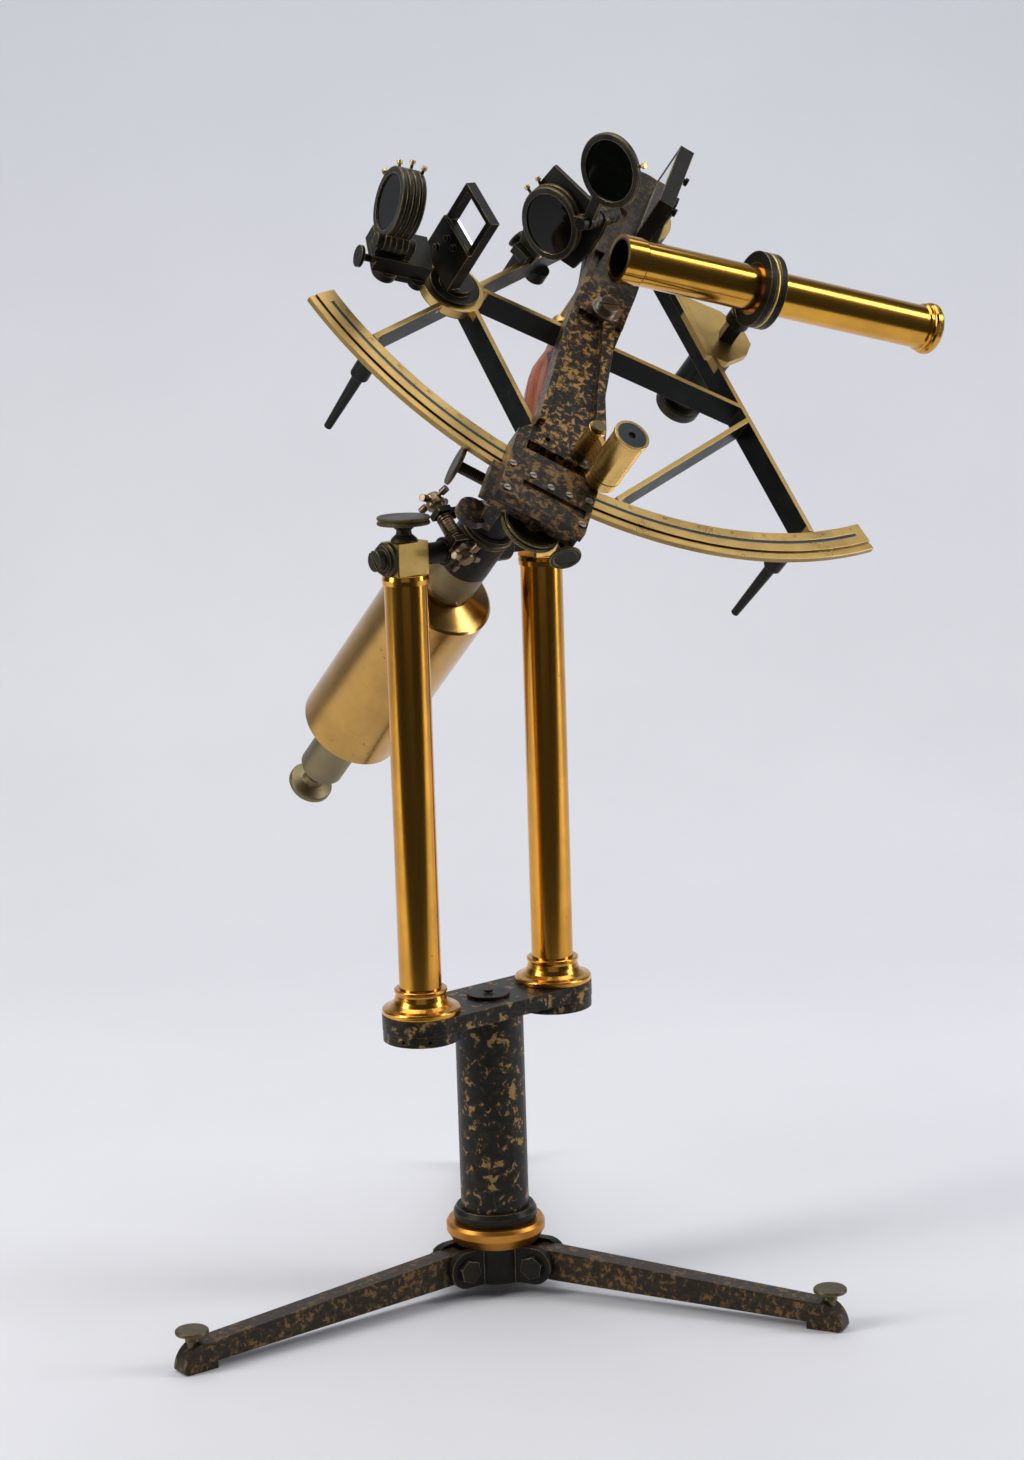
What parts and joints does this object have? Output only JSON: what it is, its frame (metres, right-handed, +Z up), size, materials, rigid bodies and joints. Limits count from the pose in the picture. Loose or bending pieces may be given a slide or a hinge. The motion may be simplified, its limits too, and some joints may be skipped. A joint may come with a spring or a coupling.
{
  "type": "quintant on counterpoised stand",
  "caption": "Brass quintant with index arm, mirrors, shades and telescope, held by a counterpoised tilting head on a column with a folding tripod base.",
  "frame": {"origin": "on the surface the three shoes stand on, in the middle of the whole object's box seen from above", "axes": "+Z up along the column; +X along the tilt axle from the left pillar to the right pillar; the instrument's front faces -Y and up"},
  "size_m": [0.3821, 0.3226, 0.5701],
  "materials": {
    "lacquered_bronze": "mottled black and brown lacquer over bronze, satin",
    "black_lacquer": "black lacquer, satin",
    "polished_brass": "polished and lacquered, warm reflections",
    "satin_brass": "brushed and lacquered",
    "dull_brass": "aged, dull olive",
    "pink_bronze": "machined, pinkish grey bronze",
    "rosewood": "oiled, striped grain",
    "silver_scale": "fine divided metal strip",
    "mirror_glass": "silvered glass",
    "shade_glass": "near black tinted glass in a black ring",
    "lens_glass": "clear lens"
  },
  "bodies": {
    "base": {"hub": "black_lacquer", "base_ring": "polished_brass", "azimuth_spindle": "dull_brass", "spindle_cap": "black_lacquer", "hinge_screws": "black_lacquer"},
    "leg_left": {"leg_left": "lacquered_bronze"},
    "leg_right": {"leg_right": "lacquered_bronze"},
    "leg_rear": {"leg_rear": "lacquered_bronze"},
    "foot_left": {"levelling_left": "dull_brass"},
    "foot_right": {"levelling_right": "dull_brass"},
    "foot_rear": {"levelling_rear": "dull_brass"},
    "pillar_head": {"column": "lacquered_bronze", "column_collar": "black_lacquer", "crossbar": "lacquered_bronze", "pillars": "polished_brass", "pillar_bases": "polished_brass", "bearing_blocks": "satin_brass", "pivot_screws": "black_lacquer"},
    "tilt_clamp": {"tilt_knob": "dull_brass"},
    "cradle": {"cradle": "black_lacquer", "worm_bracket": "black_lacquer", "counter_sleeve": "dull_brass", "counterweight": "polished_brass", "counter_tail": "dull_brass"},
    "slow_motion": {"capstan_screw": "pink_bronze"},
    "quintant": {"slew_spindle": "black_lacquer", "slew_wheel": "black_lacquer", "handle": "rosewood", "handle_brackets": "satin_brass", "frame": "satin_brass", "limb": "satin_brass", "scale_inlay": "silver_scale", "frame_feet": "black_lacquer", "horizon_mirror_frame": "black_lacquer", "horizon_mirror": "mirror_glass", "index_shade_bracket": "black_lacquer", "horizon_shade_bracket": "black_lacquer"},
    "index": {"index_arm": "lacquered_bronze", "vernier_box": "lacquered_bronze", "vernier_scale": "satin_brass", "arm_screws": "pink_bronze", "magnifier_post": "dull_brass", "index_mirror_frame": "black_lacquer", "index_mirror": "mirror_glass"},
    "arc_clamp": {"clamp_screw": "black_lacquer"},
    "release": {"release_knob": "black_lacquer"},
    "tangent": {"tangent_screw": "lacquered_bronze"},
    "magnifier": {"magnifier": "satin_brass"},
    "index_shade_1": {"index_shade_1": "shade_glass"},
    "index_shade_2": {"index_shade_2": "shade_glass"},
    "index_shade_3": {"index_shade_3": "shade_glass"},
    "horizon_shade_1": {"horizon_shade_1": "shade_glass"},
    "horizon_shade_2": {"horizon_shade_2": "shade_glass"},
    "horizon_shade_3": {"horizon_shade_3": "shade_glass"},
    "horizon_shade_4": {"horizon_shade_4": "shade_glass"},
    "telescope": {"telescope_collar": "black_lacquer", "telescope_tube": "polished_brass", "telescope_lens": "lens_glass"},
    "rise_nut": {"telescope_nut": "black_lacquer"},
    "eyepiece": {"eyepiece_tube": "polished_brass"}
  },
  "joints": [
    {"name": "azimuth", "type": "hinge", "parent": "base", "child": "pillar_head", "pos_m": [-0.0066, 0.0046, 0.1502], "axis": [0, 0, 1], "continuous": true},
    {"name": "leg_left_fold", "type": "hinge", "parent": "base", "child": "leg_left", "pos_m": [-0.03107, 0.00571, 0.015], "axis": [-0.0454, -0.999, 0], "range_deg": [0, 84]},
    {"name": "foot_left_screw", "type": "slide", "parent": "leg_left", "child": "foot_left", "axis": [0, 0, -1], "range_m": [-0.006, 0.0006]},
    {"name": "leg_right_fold", "type": "hinge", "parent": "base", "child": "leg_right", "pos_m": [0.00467, -0.01715, 0.015], "axis": [0.8878, 0.4602, 0], "range_deg": [0, 84]},
    {"name": "foot_right_screw", "type": "slide", "parent": "leg_right", "child": "foot_right", "axis": [0, 0, -1], "range_m": [-0.006, 0.0006]},
    {"name": "leg_rear_fold", "type": "hinge", "parent": "base", "child": "leg_rear", "pos_m": [0.00766, 0.02452, 0.015], "axis": [-0.8131, 0.5821, 0], "range_deg": [0, 84]},
    {"name": "foot_rear_screw", "type": "slide", "parent": "leg_rear", "child": "foot_rear", "axis": [0, 0, -1], "range_m": [-0.006, 0.0006]},
    {"name": "tilt", "type": "hinge", "parent": "pillar_head", "child": "cradle", "pos_m": [-0.0066, 0.0046, 0.3738], "axis": [1, 0, 0], "range_deg": [-46.6, 48]},
    {"name": "tilt_clamp_turn", "type": "hinge", "parent": "pillar_head", "child": "tilt_clamp", "pos_m": [-0.0478, 0.0046, 0.3958], "axis": [0, 0, 1], "range_deg": [-90, 180]},
    {"name": "slew", "type": "hinge", "parent": "cradle", "child": "quintant", "pos_m": [-0.0066, 0.0046, 0.3738], "axis": [0, -0.7278, 0.6858], "continuous": true},
    {"name": "slow_motion_turn", "type": "hinge", "parent": "cradle", "child": "slow_motion", "pos_m": [-0.0244, -0.00041, 0.38539], "axis": [0, 0.6858, 0.7278], "continuous": true},
    {"name": "index", "type": "hinge", "parent": "quintant", "child": "index", "pos_m": [0.08729, -0.00816, 0.52969], "axis": [0, -0.7278, 0.6858], "range_deg": [-14, 35]},
    {"name": "arc_clamp_turn", "type": "hinge", "parent": "index", "child": "arc_clamp", "pos_m": [-0.0685, -0.11938, 0.40292], "axis": [0, -0.7278, 0.6858], "range_deg": [-180, 90]},
    {"name": "release_turn", "type": "hinge", "parent": "index", "child": "release", "pos_m": [-0.05777, -0.12769, 0.39031], "axis": [-0.2622, -0.6618, -0.7023], "range_deg": [-180, 180]},
    {"name": "tangent_turn", "type": "hinge", "parent": "index", "child": "tangent", "pos_m": [-0.07778, -0.08877, 0.42432], "axis": [-0.729, 0.4695, 0.4982], "continuous": true},
    {"name": "magnifier_swing", "type": "hinge", "parent": "index", "child": "magnifier", "pos_m": [-0.03648, -0.12213, 0.43791], "axis": [0, -0.7278, 0.6858], "range_deg": [-50, 30]},
    {"name": "index_shade_1_swing", "type": "hinge", "parent": "quintant", "child": "index_shade_1", "pos_m": [0.00188, -0.07596, 0.52963], "axis": [0.9774, 0.1449, 0.1538], "range_deg": [-118, 10]},
    {"name": "index_shade_2_swing", "type": "hinge", "parent": "quintant", "child": "index_shade_2", "pos_m": [0.00481, -0.07552, 0.53009], "axis": [0.9774, 0.1449, 0.1538], "range_deg": [0, 130]},
    {"name": "index_shade_3_swing", "type": "hinge", "parent": "quintant", "child": "index_shade_3", "pos_m": [0.00774, -0.07509, 0.53055], "axis": [0.9774, 0.1449, 0.1538], "range_deg": [-2, 126]},
    {"name": "horizon_shade_1_swing", "type": "hinge", "parent": "quintant", "child": "horizon_shade_1", "pos_m": [-0.08836, -0.04455, 0.52549], "axis": [0.9393, -0.2352, -0.2496], "range_deg": [0, 105]},
    {"name": "horizon_shade_2_swing", "type": "hinge", "parent": "quintant", "child": "horizon_shade_2", "pos_m": [-0.08554, -0.04525, 0.52474], "axis": [0.9393, -0.2352, -0.2496], "range_deg": [0, 105]},
    {"name": "horizon_shade_3_swing", "type": "hinge", "parent": "quintant", "child": "horizon_shade_3", "pos_m": [-0.08272, -0.04596, 0.52399], "axis": [0.9393, -0.2352, -0.2496], "range_deg": [0, 105]},
    {"name": "horizon_shade_4_swing", "type": "hinge", "parent": "quintant", "child": "horizon_shade_4", "pos_m": [-0.0799, -0.04666, 0.52324], "axis": [0.9393, -0.2352, -0.2496], "range_deg": [0, 105]},
    {"name": "rise_nut_turn", "type": "hinge", "parent": "quintant", "child": "rise_nut", "pos_m": [0.09672, -0.03009, 0.43788], "axis": [0, -0.7278, 0.6858], "range_deg": [-842, 842]},
    {"name": "telescope_rise", "type": "slide", "parent": "quintant", "child": "telescope", "axis": [0, -0.7278, 0.6858], "range_m": [-0.007, 0.007]},
    {"name": "eyepiece_focus", "type": "slide", "parent": "telescope", "child": "eyepiece", "axis": [0.9393, -0.2352, -0.2496], "range_m": [0, 0.016]}
  ],
  "couplings": [
    {"joint": "slow_motion_turn", "follows": "slew", "ratio": -36},
    {"joint": "rise_nut_turn", "follows": "telescope_rise", "rad_per_m": 2094.4}
  ]
}
